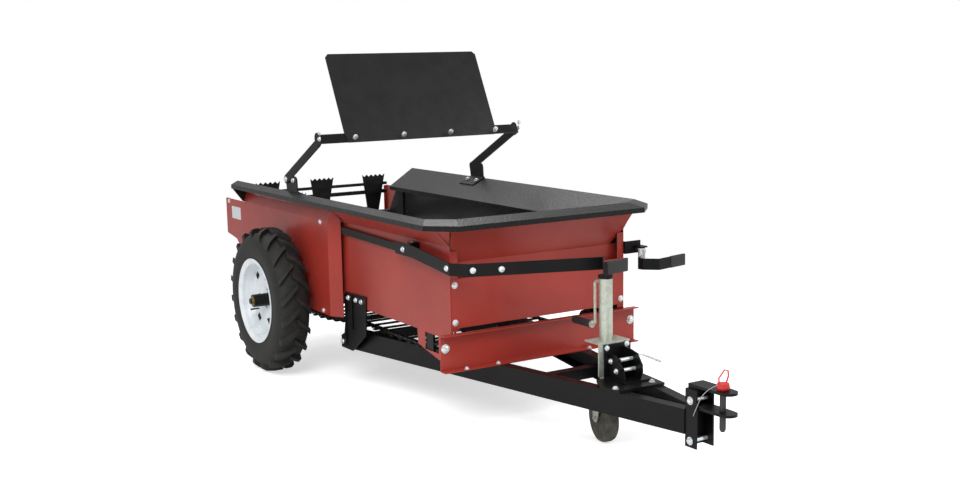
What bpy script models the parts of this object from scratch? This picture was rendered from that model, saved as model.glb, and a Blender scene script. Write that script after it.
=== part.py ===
"""Ground-drive manure spreader: hopper on two farm wheels, beater, apron, A-frame and tongue jack.

Units are metres, +Z up.  The hitch points along -Y, the beater is at the +Y end and the
ground is Z = 0.  The origin is on the ground under the middle of the whole machine.
"""
import math

import bmesh
import bpy
from mathutils import Matrix, Vector

# ---- driving dimensions ------------------------------------------------------------------
GAP = 0.0003            # clearance between pieces that touch
SHEET = 0.003           # hopper sheet
PLATE = 0.006           # brackets and tabs

WALL_X = 0.433          # outer face of the hopper side
WALL_BOTTOM = 0.395
WALL_FOLD = 0.7715      # height where the side flares out
FLARE_TOP = (0.5225, 0.8740)   # top edge of the side flare, (x, z)
FRONT_Y = -0.5995       # front edge of the hopper sides
FRONT_WALL_Y = -0.568
FLOOR_TOP = 0.3994

RIM_TOP = 0.884         # ridge of the coping
RIM_RIDGE_X = 0.5205
RIM_LIP_X = 0.557
RIM_INNER_X = 0.333
RIM_REAR_Y = 1.432
RIM_RIDGE_Y = -0.644
RIM_LIP_Y = -0.715
RIM_INNER_Y = -0.457

WHEEL_Y = 0.8707
WHEEL_Z = 0.351         # also the tyre's outer radius
TYRE_IN, TYRE_OUT = 0.516, 0.680
RIM_LIP_R = 0.2065

BEATER_Y, BEATER_Z, BEATER_TIP = 1.532, 0.630, 0.225
APRON_FRONT_Y, APRON_REAR_Y, APRON_Z, APRON_R = -0.438, 1.332, 0.350, 0.055

PANEL_PIVOT = (0.0, 0.778, 0.9405)
PANEL_LEAN = math.radians(26.7)
LEVER_PIVOT_R = (-0.452, -0.330, 0.735)
LEVER_PIVOT_L = (0.500, -0.640, 0.650)

BEAM_TOP, BEAM_BOTTOM, BEAM_WIDTH = 0.2710, 0.180, 0.050
BEAM_REAR, BEAM_FRONT = (0.4327, 0.374), (0.0455, -1.5506)   # outer face, (x, y)
HITCH_Y = -1.551
PIN_Y = -1.698

JACK_X, JACK_Y, JACK_R = 0.017, -1.018, 0.0265
JACK_TOP = 0.6565        # top of the jack's tube
CASTER_R, CASTER_TRAIL = 0.098, 0.022
CASTER_TURN = math.radians(-12)   # the caster stands swung by this
SIDES = (("right", -1), ("left", 1))


# ---- building blocks -----------------------------------------------------------------------
def material(name, color, roughness, metallic=0.0):
    """A Principled material with one flat colour (linear RGB)."""
    mat = bpy.data.materials.new(name)
    mat.use_nodes = True
    shader = mat.node_tree.nodes["Principled BSDF"]
    shader.inputs["Base Color"].default_value = (*color, 1.0)
    shader.inputs["Roughness"].default_value = roughness
    shader.inputs["Metallic"].default_value = metallic
    mat.diffuse_color = (*color, 1.0)
    return mat


def prism(outline, axis, low, high):
    """Closed solid: an outline extruded along one axis.

    The outline holds (y, z) points for axis "x", (x, z) for "y" and (x, y) for "z".
    """
    place = {
        "x": lambda a, b, c: (c, a, b),
        "y": lambda a, b, c: (a, c, b),
        "z": lambda a, b, c: (a, b, c),
    }[axis]
    bm = bmesh.new()
    near = [bm.verts.new(place(a, b, low)) for a, b in outline]
    face = bm.faces.new(near)
    grown = bmesh.ops.extrude_face_region(bm, geom=[face])["geom"]
    far = [item for item in grown if isinstance(item, bmesh.types.BMVert)]
    shift = Vector(place(0, 0, high - low))
    bmesh.ops.translate(bm, vec=shift, verts=far)
    bmesh.ops.recalc_face_normals(bm, faces=bm.faces)
    return bm


def box(x0, x1, y0, y1, z0, z1):
    return prism([(y0, z0), (y1, z0), (y1, z1), (y0, z1)], "x", min(x0, x1), max(x0, x1))


def hull(points):
    """Convex solid around a few points, for folded corners."""
    bm = bmesh.new()
    for point in points:
        bm.verts.new(point)
    result = bmesh.ops.convex_hull(bm, input=bm.verts)
    loose = [item for item in result["geom_interior"] if isinstance(item, bmesh.types.BMVert)]
    bmesh.ops.delete(bm, geom=loose, context="VERTS")
    bmesh.ops.recalc_face_normals(bm, faces=bm.faces)
    return bm


def turned(profile, axis, center, segments=40, closed=True):
    """Profile of (radius, offset) points turned about an axis through center.

    A closed profile makes a ring; an open one starts and ends on the axis.
    """
    turn = {
        "x": lambda r, t, o: (o, r * math.cos(t), r * math.sin(t)),
        "y": lambda r, t, o: (r * math.sin(t), o, r * math.cos(t)),
        "z": lambda r, t, o: (r * math.cos(t), r * math.sin(t), o),
    }[axis]
    bm = bmesh.new()
    rings = []
    for step in range(segments):
        angle = math.tau * step / segments
        rings.append([bm.verts.new(Vector(turn(r, angle, o)) + Vector(center)) for r, o in profile])
    spans = len(profile) if closed else len(profile) - 1
    for step in range(segments):
        here, there = rings[step], rings[(step + 1) % segments]
        for i in range(spans):
            j = (i + 1) % len(profile)
            bm.faces.new((here[i], here[j], there[j], there[i]))
    bmesh.ops.remove_doubles(bm, verts=bm.verts, dist=0.00001)
    bmesh.ops.recalc_face_normals(bm, faces=bm.faces)
    return bm


def cylinder(axis, center, radius, low, high, segments=24):
    """Solid rod along an axis; low and high are offsets from center."""
    profile = [(0, low), (radius, low), (radius, high), (0, high)]
    return turned(profile, axis, center, segments, closed=False)


def tube(axis, center, outer, inner, low, high, segments=24):
    profile = [(inner, low), (outer, low), (outer, high), (inner, high)]
    return turned(profile, axis, center, segments)


def capsule(start, end, width, steps=6):
    """Outline of a flat bar with round ends, from one hole centre to the other."""
    angle = math.atan2(end[1] - start[1], end[0] - start[0])
    points = []
    for center, first in ((end, angle - math.pi / 2), (start, angle + math.pi / 2)):
        for step in range(steps + 1):
            turn = first + math.pi * step / steps
            points.append((center[0] + width / 2 * math.cos(turn), center[1] + width / 2 * math.sin(turn)))
    return points


def tab(base_a, base_b, top, width, steps=6):
    """Outline of a lug: two base corners and a round top centred on a hole."""
    arc = []
    for step in range(steps + 1):
        turn = math.pi * step / steps
        arc.append((top[0] + width / 2 * math.cos(turn), top[1] + width / 2 * math.sin(turn)))
    return [base_a, base_b] + arc


def ring_prism(outer, inner, axis, low, high):
    """Endless band: the area between two matching closed outlines, extruded."""
    bm = bmesh.new()
    layers = []
    for level in (low, high):
        layers.append([[bm.verts.new((level, y, z)) for y, z in line] for line in (outer, inner)])
    (out0, in0), (out1, in1) = layers
    count = len(outer)
    for i in range(count):
        j = (i + 1) % count
        for a, b in ((out0, in0), (in0, in1), (in1, out1), (out1, out0)):
            bm.faces.new((a[i], a[j], b[j], b[i]))
    bmesh.ops.recalc_face_normals(bm, faces=bm.faces)
    return bm


def strip(path, height, thickness):
    """Flat bar on edge, bent along a path of (x, y, centre height) points."""
    bm = bmesh.new()
    count = len(path)
    sections = []
    for i, (x, y, z) in enumerate(path):
        before = Vector(path[i][:2]) - Vector(path[max(i - 1, 0)][:2])
        after = Vector(path[min(i + 1, count - 1)][:2]) - Vector(path[i][:2])
        before = (before if i else after).normalized()
        after = (after if i < count - 1 else before).normalized()
        bend = (before + after).normalized()
        half = thickness / 2 / max(bend.dot(after), 0.35)
        side = Vector((-bend.y, bend.x)) * half
        corners = ((-1, -1), (1, -1), (1, 1), (-1, 1))
        sections.append([bm.verts.new((x + side.x * a, y + side.y * a, z + height / 2 * b))
                         for a, b in corners])
    for here, there in zip(sections, sections[1:]):
        for i in range(4):
            j = (i + 1) % 4
            bm.faces.new((here[i], here[j], there[j], there[i]))
    bm.faces.new(sections[0])
    bm.faces.new(sections[-1])
    bmesh.ops.recalc_face_normals(bm, faces=bm.faces)
    return bm


def to_object(name, bm, mat=None, origin=(0, 0, 0), smooth=False):
    """Turn a bmesh in world coordinates into an object whose origin is given."""
    mesh = bpy.data.meshes.new(name)
    bm.transform(Matrix.Translation(-Vector(origin)))
    bm.to_mesh(mesh)
    bm.free()
    if smooth:
        mesh.shade_smooth()
        mesh.set_sharp_from_angle(angle=math.radians(32))
    obj = bpy.data.objects.new(name, mesh)
    obj.location = origin
    bpy.context.scene.collection.objects.link(obj)
    if mat:
        mesh.materials.append(mat)
    return obj


def node(name, mat, pieces, cuts=(), origin=(0, 0, 0), smooth=False):
    """One sub-part: the first piece, united with the others, less the cuts."""
    obj = to_object(name, pieces[0], mat, origin, smooth)
    tools = [("UNION", bm) for bm in pieces[1:]] + [("DIFFERENCE", bm) for bm in cuts]
    for index, (operation, bm) in enumerate(tools):
        tool = to_object(f"{name}_tool_{index}", bm, mat, smooth=smooth)
        tool.hide_render = True
        tool.display_type = "WIRE"
        tool.hide_set(True)
        modifier = obj.modifiers.new(f"tool_{index}", "BOOLEAN")
        modifier.operation = operation
        modifier.solver = "EXACT"
        modifier.object = tool
    return obj


def wire(name, mat, points, radius):
    """Round wire through a list of points, as a bevelled curve with filled caps."""
    curve = bpy.data.curves.new(name, "CURVE")
    curve.dimensions = "3D"
    curve.bevel_depth = radius
    curve.bevel_resolution = 2
    curve.use_fill_caps = True
    spline = curve.splines.new("POLY")
    spline.points.add(len(points) - 1)
    for slot, point in zip(spline.points, points):
        slot.co = (*point, 1.0)
    curve.materials.append(mat)
    obj = bpy.data.objects.new(name, curve)
    bpy.context.scene.collection.objects.link(obj)
    return obj


def smooth_route(route, count):
    """Points read at even steps from a smooth curve through the route's own points."""
    ends = [route[0] * 2 - route[1]] + route + [route[-1] * 2 - route[-2]]
    points = []
    for step in range(count):
        place = (len(route) - 1) * step / (count - 1)
        i = min(int(place), len(route) - 2)
        t = place - i
        a, b, c, d = ends[i:i + 4]
        points.append(0.5 * (2 * b + (c - a) * t + (2 * a - 5 * b + 4 * c - d) * t * t
                             + (3 * b - a - 3 * c + d) * t ** 3))
    return points


def mirrored(points, sign):
    return [(sign * p[0], *p[1:]) for p in points]


def beam_x(y):
    """Outer face of a tongue beam at a place along the machine."""
    (x0, y0), (x1, y1) = BEAM_REAR, BEAM_FRONT
    return x0 + (x1 - x0) * (y - y0) / (y1 - y0)


def slope_z(x):
    """Height of the coping's inner slope at a distance from the middle."""
    fall = (RIM_TOP - 0.800) / (RIM_RIDGE_X - RIM_INNER_X)
    return RIM_TOP - (RIM_RIDGE_X - x) * fall


# ---- hopper ----------------------------------------------------------------------------------
def hopper_side(label, sign, red):
    """Side sheet: web with the front extension, flare, closed rear end, front flange and gusset."""
    web = [(FRONT_Y, 0.290), (-0.498, 0.294), (-0.418, 0.311), (-0.326, 0.332), (-0.321, WALL_BOTTOM),
           (1.712, WALL_BOTTOM), (1.527, 0.667), (1.457, WALL_FOLD), (FRONT_Y, WALL_FOLD)]
    inner = WALL_X - SHEET
    back_y = -0.540                                          # the flare is trimmed in front of this
    top_x, top_z = FLARE_TOP
    flare = [(inner, WALL_FOLD - 0.002), (WALL_X, WALL_FOLD - 0.002), (top_x, top_z),
             (top_x - 0.0023, top_z + 0.002)]
    trimmed = [(x, back_y, z) for x, z in flare]
    trimmed += [(inner, FRONT_Y, WALL_FOLD - 0.002), (WALL_X, FRONT_Y, WALL_FOLD - 0.002),
                (0.501, FRONT_Y, 0.850),
                (0.4985, FRONT_Y, 0.8515)]
    gusset = [(WALL_X, FRONT_Y, 0.7785), (0.501, FRONT_Y, 0.8515), (0.4575, -0.6475, 0.850),
              (WALL_X - 0.002, FRONT_Y + 0.003, 0.7785),
              (0.499, FRONT_Y + 0.003, 0.8515), (0.4560, -0.6450, 0.8515)]
    closure = [(WALL_X, WALL_FOLD + 0.0020), (0.497, WALL_FOLD + 0.0020), (0.5525, 0.8460), (top_x, top_z)]
    window = box(sign * 0.40, sign * 0.47, -0.4965, -0.385, 0.320, 0.392)
    node(f"hopper_side_{label}", red, [
        prism(web, "x", *sorted((sign * inner, sign * WALL_X))),
        prism(mirrored(flare, sign), "y", back_y - 0.001, RIM_REAR_Y),
        hull(mirrored(trimmed, sign)),
        prism(mirrored(closure, sign), "y", RIM_REAR_Y - 0.0025, RIM_REAR_Y),
        box(sign * 0.398, sign * WALL_X, FRONT_Y, FRONT_Y + SHEET, 0.425, 0.751),
        hull(mirrored(gusset, sign)),
    ], cuts=[window])


def hopper_front(red):
    """Front wall with its flare, and the bolted board in front of it."""
    x = WALL_X - SHEET - GAP
    y = FRONT_WALL_Y
    lean_out = math.atan2(0.069, 0.130)
    half = [(0.378, 0.700), (0.420, 0.7565), (0.4290, 0.764), (0.4465, 0.830), (0.4540, 0.868)]
    outline = [(a, (z - 0.700) / math.cos(lean_out)) for a, z in half]
    flare = prism(outline + [(-a, up) for a, up in reversed(outline)], "y", 0.0, SHEET)
    flare.transform(Matrix.Translation((0, y, 0.700)) @ Matrix.Rotation(lean_out, 4, "X"))
    node("hopper_front_wall", red, [box(-x, x, y, y + SHEET, 0.445, 0.7015), flare])
    node("front_board", red, [box(-x, x, FRONT_Y - GAP - SHEET, FRONT_Y - GAP, 0.440, 0.640)])


def front_channel(red):
    """Cross channel under the hopper front, open to the front."""
    y0, y1, low, high = FRONT_Y - 0.0045, FRONT_Y - 0.0005, 0.2715, 0.4206
    reach = y1 - 0.039
    outline = [(y1, low), (y1, high), (reach, high + 0.002), (reach, high - 0.002), (y0, high - 0.004),
               (y0, low + 0.004), (reach, low + 0.004), (reach, low)]
    node("front_channel", red, [prism(outline, "x", -0.486, 0.486)])


def hopper_floor(wood):
    x = WALL_X - SHEET - GAP
    node("hopper_floor", wood, [box(-x, x, -0.360, 1.255, FLOOR_TOP - 0.003, FLOOR_TOP)])


def coping_ring(stations):
    """Coping section carried round stations of (inner point, ridge point, lip point)."""
    bm = bmesh.new()
    skin = 0.004
    rows = []
    for inner, ridge, lip in stations:
        inner, ridge, lip = Vector(inner), Vector(ridge), Vector(lip)
        inward = (inner - ridge).normalized() * skin
        outline = [
            (inner, 0.780), (inner, 0.800), (ridge, RIM_TOP), (lip, 0.866), (lip, 0.845),
            (lip + inward, 0.845), (lip + inward, 0.864), (ridge + inward * 0.4, RIM_TOP - skin),
            (inner - inward, 0.798), (inner - inward, 0.780),
        ]
        rows.append([bm.verts.new((p.x, p.y, z)) for p, z in outline])
    count = len(rows[0])
    for here, there in zip(rows, rows[1:]):
        for i in range(count):
            j = (i + 1) % count
            bm.faces.new((here[i], here[j], there[j], there[i]))
    for end in (rows[0], rows[-1]):
        bm.faces.new(end)
    bmesh.ops.recalc_face_normals(bm, faces=bm.faces)
    return bm


def coping(liner):
    """Folded black coping round three sides of the hopper, mitred at the front corners."""
    seam = ((RIM_INNER_X, RIM_INNER_Y), (RIM_RIDGE_X, -0.563), (RIM_LIP_X, -0.610))
    rear = ((RIM_INNER_X, 1.352), (RIM_RIDGE_X, RIM_REAR_Y), (RIM_LIP_X, RIM_REAR_Y))
    turn = ((RIM_INNER_X - 0.004, RIM_INNER_Y - 0.004), (0.425, RIM_RIDGE_Y), (0.455, RIM_LIP_Y))
    for label, sign in SIDES:
        ends = [[(sign * x, y) for x, y in station] for station in (rear, seam)]
        node(f"coping_{label}", liner, [coping_ring(ends)])
    half = [[(x, y - 2 * GAP) for x, y in seam], turn]
    stations = half + [[(-x, y) for x, y in station] for station in reversed(half)]
    node("coping_front", liner, [coping_ring(stations)])


def guard(label, sign, red):
    """Wheel-side shield over the drive chains, folded in at the top, front and rear."""
    x0, x1 = 0.487, 0.490
    low, high = 0.329, 0.7715
    face = [(0.407, low), (0.407, high), (1.694, high - 0.0015), (1.694, 0.580), (1.562, 0.560), (1.240, low)]
    top = [(x1, 0.407, high), (x1, 1.4285, high), (0.4762, 0.3805, 0.8165), (0.4762, 1.4285, 0.8165)]
    nose = [(x1, 0.407, low), (x1, 0.407, high), (0.4762, 0.3805, 0.8165), (0.4630, 0.3625, 0.7985),
            (0.4525, 0.345, 0.784), (0.4525, 0.345, low)]
    pieces = [
        prism(face, "x", *sorted((sign * x0, sign * x1))),
        hull(mirrored(top + [(a - 0.0005, b, c - 0.004) for a, b, c in top], sign)),
        hull(mirrored(nose + [(a - 0.0024, b + 0.0016, c) for a, b, c in nose], sign)),
        box(sign * 0.472, sign * x1, 1.691, 1.694, 0.585, 0.768),
    ]
    for y, z, radius in ((0.482, 0.7625, 0.005), (1.400, 0.745, 0.008), (0.482, 0.430, 0.008)):
        pieces.append(cylinder("x", (0, y, z), radius, *sorted((sign * (WALL_X + GAP), sign * 0.488)), 10))
    notch = box(sign * 0.46, sign * 0.50, WHEEL_Y - 0.040, WHEEL_Y + 0.040, 0.30, 0.40)
    node(f"guard_{label}", red, pieces, cuts=[notch])


def bearing_plate(label, sign, zinc):
    """Plate inside the rear end of the hopper that carries the beater's bearing."""
    outline = [(1.370, 0.480), (1.652, 0.480), (1.525, 0.665), (1.452, 0.762), (1.370, 0.762)]
    x = WALL_X - SHEET - GAP
    node(f"beater_plate_{label}", zinc, [prism(outline, "x", *sorted((sign * (x - PLATE), sign * x)))])


# ---- chassis -----------------------------------------------------------------------------------
def hanger_frame(black):
    """Cross tube under the hopper with an upright plate and rib at each end."""
    outline = [(0.138, 0.4545), (0.346, 0.4475), (0.354, 0.330), (0.372, 0.250), (0.404, 0.236),
               (0.404, 0.180), (0.290, 0.180), (0.150, 0.276)]
    x = WALL_X + GAP
    pieces = [box(-x - 0.002, x + 0.002, 0.3745, 0.402, 0.1860, 0.2300)]
    for _, sign in SIDES:
        pieces.append(prism(outline, "x", *sorted((sign * x, sign * (x + PLATE)))))
        for y, low in ((0.340, 0.200), (0.272, 0.285)):
            pieces.append(box(sign * x, sign * (x + 0.012), y, y + 0.006, low, 0.440))
    node("hanger_frame", black, pieces)


def tongue_beam(label, sign, black):
    """Channel beam, open to the inside, from the hanger to the hitch."""
    wall, flange = 0.005, BEAM_WIDTH
    section = [(0, BEAM_BOTTOM), (0, BEAM_TOP), (flange, BEAM_TOP), (flange, BEAM_TOP - wall),
               (wall, BEAM_TOP - wall), (wall, BEAM_BOTTOM + wall), (flange, BEAM_BOTTOM + wall),
               (flange, BEAM_BOTTOM)]
    bm = bmesh.new()
    rows = []
    for (x, y), squeeze in ((BEAM_REAR, 1.0), (BEAM_FRONT, 0.90)):
        rows.append([bm.verts.new((sign * (x - inward * squeeze), y, z)) for inward, z in section])
    for i in range(len(section)):
        j = (i + 1) % len(section)
        bm.faces.new((rows[0][i], rows[0][j], rows[1][j], rows[1][i]))
    for end in rows:
        bm.faces.new(end)
    bmesh.ops.recalc_face_normals(bm, faces=bm.faces)
    node(f"tongue_beam_{label}", black, [bm])


def cross_member(black):
    """Tube between the two beams, behind the jack."""
    reach = beam_x(-0.800) - 0.0055
    node("cross_member", black, [box(-reach, reach, -0.800, -0.756, 0.200, 0.245)])


def hitch(black, chrome, red_grip):
    """Hitch channel, clevis, hitch pin and the wire that keeps the pin with the machine."""
    y, half = HITCH_Y, 0.0416
    outline = [(-half, y), (half, y), (half, y - 0.058), (half - PLATE, y - 0.058), (half - PLATE, y - PLATE),
               (PLATE - half, y - PLATE), (PLATE - half, y - 0.058), (-half, y - 0.058)]
    node("hitch_channel", black, [prism(outline, "z", 0.137, 0.348)])
    back = y - PLATE - GAP
    tongue = [(-0.034, back), (0.034, back), (0.034, -1.700)] + [
        (0.034 * math.cos(t), -1.723 - 0.034 * math.sin(t)) for t in
        (math.pi * k / 10 for k in range(1, 10))] + [(-0.034, -1.700)]
    pieces = [box(-0.034, 0.034, back - PLATE, back, 0.140, 0.366)]
    pieces += [prism(tongue, "z", low, low + 0.010) for low in (0.356, 0.280)]
    hole = cylinder("z", (0, PIN_Y, 0), 0.0125, 0.20, 0.40, 20)
    node("clevis", black, pieces, cuts=[hole])
    pin = [(0, 0.217), (0.007, 0.217), (0.0115, 0.226), (0.0115, 0.3664), (0.021, 0.3664), (0.024, 0.374),
           (0.021, 0.390), (0, 0.394)]
    loop = [(-0.018, PIN_Y, 0.388), (-0.020, PIN_Y, 0.410), (0.006, PIN_Y, 0.436), (0.022, PIN_Y, 0.430),
            (0.024, PIN_Y, 0.412), (0.014, PIN_Y, 0.388)]
    handle = tube_along(loop, 0.003, 8)
    node("hitch_pin", red_grip, [turned(pin, "z", (0, PIN_Y, 0), 20, closed=False), handle])
    route = [Vector(p) for p in ((-0.0235, PIN_Y, 0.388), (-0.038, -1.668, 0.366), (-0.046, -1.640, 0.335),
                                 (-0.048, -1.622, 0.300), (-0.047, -1.606, 0.272), (-0.0434, -1.596, 0.256))]
    wire("pin_lanyard", chrome, smooth_route(route, 24), 0.0012)


def tube_along(points, radius, sides):
    """Closed round rod swept along a bent line."""
    bm = bmesh.new()
    path = [Vector(p) for p in points]
    rings = []
    normal = None
    for i, here in enumerate(path):
        ahead = path[min(i + 1, len(path) - 1)] - path[max(i - 1, 0)]
        ahead.normalize()
        if normal is None:
            normal = ahead.orthogonal().normalized()
        normal = (normal - ahead * normal.dot(ahead)).normalized()
        other = ahead.cross(normal)
        rings.append([bm.verts.new(here + radius * (normal * math.cos(a) + other * math.sin(a)))
                      for a in (math.tau * k / sides for k in range(sides))])
    for here, there in zip(rings, rings[1:]):
        for i in range(sides):
            j = (i + 1) % sides
            bm.faces.new((here[i], here[j], there[j], there[i]))
    bm.faces.new(rings[0])
    bm.faces.new(rings[-1])
    bmesh.ops.recalc_face_normals(bm, faces=bm.faces)
    return bm


def axle(black):
    """Axle with a hanger plate welded on for each hopper side."""
    pieces = [cylinder("x", (0, WHEEL_Y, WHEEL_Z), 0.020, -0.4998, 0.4998, 20)]
    x = WALL_X + GAP
    outline = [(WHEEL_Y + 0.060, 0.520), (WHEEL_Y - 0.060, 0.520)]
    outline += [(WHEEL_Y - 0.060 * math.cos(t), WHEEL_Z - 0.045 * math.sin(t))
                for t in (math.pi * k / 8 for k in range(9))]
    for _, sign in SIDES:
        pieces.append(prism(outline, "x", *sorted((sign * x, sign * (x + PLATE)))))
    node("axle", black, pieces)


# ---- apron and beater ------------------------------------------------------------------------
def apron_line(offset, steps=8, sag=0.045):
    """Closed side view of an apron chain, moved outwards by an offset.

    The return run is straight over the tongue beams and sags between them and the rear shaft.
    """
    radius = APRON_R + offset
    points = []
    for y, first in ((APRON_REAR_Y, -math.pi / 2), (APRON_FRONT_Y, math.pi / 2)):
        for k in range(steps + 1):
            t = first + math.pi * k / steps
            points.append((y + radius * math.cos(t), APRON_Z + radius * math.sin(t)))
    start = 0.420
    for k in range(steps):
        t = k / steps
        points.append((start + (APRON_REAR_Y - start) * t, APRON_Z - radius - 4 * sag * t * (1 - t)))
    return points


def apron(steel):
    """Two endless chains joined by slats, in one fixed loop."""
    half = 0.005
    outer, inner = apron_line(half), apron_line(-half)
    bands = [ring_prism(outer, inner, "x", sign * 0.350 - 0.009, sign * 0.350 + 0.009) for _, sign in SIDES]
    middle = apron_line(0.0)
    lengths = [0.0]
    for a, b in zip(middle, middle[1:] + middle[:1]):
        lengths.append(lengths[-1] + math.hypot(b[0] - a[0], b[1] - a[1]))
    slats = []
    count = 18
    for k in range(count):
        place = lengths[-1] * (k + 0.5) / count
        i = max(j for j, far in enumerate(lengths[:-1]) if far <= place)
        a, b = middle[i], middle[(i + 1) % len(middle)]
        t = (place - lengths[i]) / (lengths[i + 1] - lengths[i])
        y, z = a[0] + (b[0] - a[0]) * t, a[1] + (b[1] - a[1]) * t
        along = Vector((b[0] - a[0], b[1] - a[1])).normalized()
        out = Vector((along.y, -along.x))
        corners = [(-0.012, 0.001), (0.012, 0.001), (0.012, 0.015), (-0.012, 0.015)]
        outline = [(y + along.x * u + out.x * v, z + along.y * u + out.y * v) for u, v in corners]
        slats.append(prism(outline, "x", -0.372, 0.372))
    node("apron", steel, bands + slats)


def apron_shafts(steel, black):
    """Sprocket shafts at the two ends of the apron and the blocks that tension the front one."""
    reach = WALL_X - SHEET - GAP
    table = (("apron_shaft_front", APRON_FRONT_Y, 0.4194), ("apron_shaft_rear", APRON_REAR_Y, reach))
    for name, y, half in table:                              # name, place, half length
        profile = [(0, -half), (0.0125, -half)]
        for side in (-1, 1):
            x = side * 0.350
            profile += [(0.0125, x - 0.006), (0.046, x - 0.006), (0.046, x + 0.006), (0.0125, x + 0.006)]
        profile += [(0.0125, half), (0, half)]
        node(name, steel, [turned(profile, "x", (0, y, APRON_Z), 24, closed=False)])
    for label, sign in SIDES:
        block = box(sign * 0.4198, sign * 0.4294, -0.446, -0.386, 0.316, 0.392)
        rod = cylinder("y", (sign * 0.4245, 0, 0.352), 0.0045, FRONT_Y + 0.0002, -0.440, 10)
        node(f"tension_block_{label}", black, [block, rod])


def paddle(center_x, root, tip, scallops=5):
    """Fan-shaped beater paddle with a scalloped edge, as (x, radius) points."""
    half_root, half_tip = 0.034, 0.069
    edge = []
    for k in range(2 * scallops + 1):
        x = half_tip - 2 * half_tip * k / (2 * scallops)
        edge.append((center_x + x, tip - (0.012 if k % 2 else 0.0)))
    return [(center_x - half_root, root), (center_x + half_root, root)] + edge


def beater(black):
    """Shaft with four rows of paddles, each row carried by two bars."""
    axis = (0, BEATER_Y, BEATER_Z)
    reach = WALL_X - SHEET - PLATE - 2 * GAP - 0.0002
    flange = [(0, -reach), (0.020, -reach), (0.020, reach), (0, reach)]
    node("beater_shaft", black, [turned(flange, "x", axis, 24, closed=False)], origin=axis, smooth=True)
    rows = ((0, (-0.317, 0.0, 0.317)), (90, (-0.158, 0.158)),
            (180, (-0.317, 0.0, 0.317)), (270, (-0.158, 0.158)))
    for number, (degrees, places) in enumerate(rows):        # angle of the row, paddle places
        pieces = []
        for radius, half in ((0.172, 0.0075), (0.127, 0.010)):
            pieces.append(box(-0.400, 0.400, -0.006, 0.006, radius - half, radius + half))
        for x in places:
            pieces.append(prism(paddle(x, 0.0205, BEATER_TIP), "y", -0.003, 0.003))
        spin = Matrix.Translation(axis) @ Matrix.Rotation(math.radians(degrees + 4), 4, "X")
        for bm in pieces:
            bm.transform(spin)
        node(f"beater_row_{number + 1}", black, pieces, origin=axis)


# ---- raised panel -------------------------------------------------------------------------------
def lean(up, back):
    """Point (y, z) on the leaning panel: up its face from the lower edge, and behind it."""
    s, c = math.sin(PANEL_LEAN), math.cos(PANEL_LEAN)
    return (0.349 + up * s + back * c, 1.128 + up * c - back * s)


def raised_panel(black):
    """Brackets on the coping, two arms, the cross bar and the sheet bolted to it."""
    _, py, pz = PANEL_PIVOT
    elbow = lean(0.0270, 0.0330)
    for label, sign in SIDES:
        x0, x1 = 0.5140, 0.5200
        foot_in = 0.445
        lift = GAP / 2
        foot = [(foot_in, slope_z(foot_in) + lift), (x1, slope_z(x1) + lift), (x1, slope_z(x1) + 0.008),
                (foot_in, slope_z(foot_in) + 0.0055)]
        lug = [(0.664, 0.886), (0.784, 0.886), (0.792, 0.925), (0.797, 0.942), (0.792, 0.954),
               (0.780, 0.9595), (0.686, 0.9595), (0.673, 0.954), (0.668, 0.942)]
        node(f"panel_bracket_{label}", black, [
            prism(mirrored(foot, sign), "y", 0.655, 0.785),
            prism(lug, "x", *sorted((sign * x0, sign * x1))),
        ])
        arm = capsule((py, pz), elbow, 0.042)
        node(f"panel_arm_{label}", black, [prism(arm, "x", *sorted((sign * 0.5203, sign * 0.5263)))],
             origin=PANEL_PIVOT)
    low, high = 0.006, 0.0505
    leg = [lean(low, 0.0033), lean(high, 0.0033), lean(high, 0.028), lean(high - 0.004, 0.028),
           lean(high - 0.004, 0.0073), lean(low, 0.0073)]
    front = [lean(low, 0.0033), lean(high, 0.0033), lean(high, 0.0073), lean(low, 0.0073)]
    pieces = [prism(leg, "x", -0.515, 0.515), prism(front, "x", -0.5326, 0.5326)]
    round_up, round_back, round_r = 0.0450, 0.0270, 0.0240
    ear = [lean(low, 0.0040), lean(low, 0.040), lean(0.024, round_back + round_r)]
    ear += [lean(round_up + round_r * math.sin(t), round_back + round_r * math.cos(t))
            for t in (math.pi * k / 8 for k in range(9))]
    for _, sign in SIDES:
        pieces.append(prism(ear, "x", *sorted((sign * 0.5266, sign * 0.5326))))
    node("panel_bar", black, pieces, origin=PANEL_PIVOT)
    tall, clip = 0.4485, 0.016
    half = [(0.394, 0.003), (0.4045, 0.048), (0.4060, tall - clip), (0.4060 - clip, tall)]
    sheet = half + [(-x, up) for x, up in reversed(half)]
    place = Matrix.Translation((0, 0.349, 1.128)) @ Matrix.Rotation(-PANEL_LEAN, 4, "X")
    plate = prism(sheet, "y", 0.0, SHEET)
    hem = box(clip - 0.406, 0.406 - clip, 0.001, 0.014, tall - 0.003, tall)
    for bm in (plate, hem):
        bm.transform(place)
    node("panel", black, [plate, hem], origin=PANEL_PIVOT)


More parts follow.
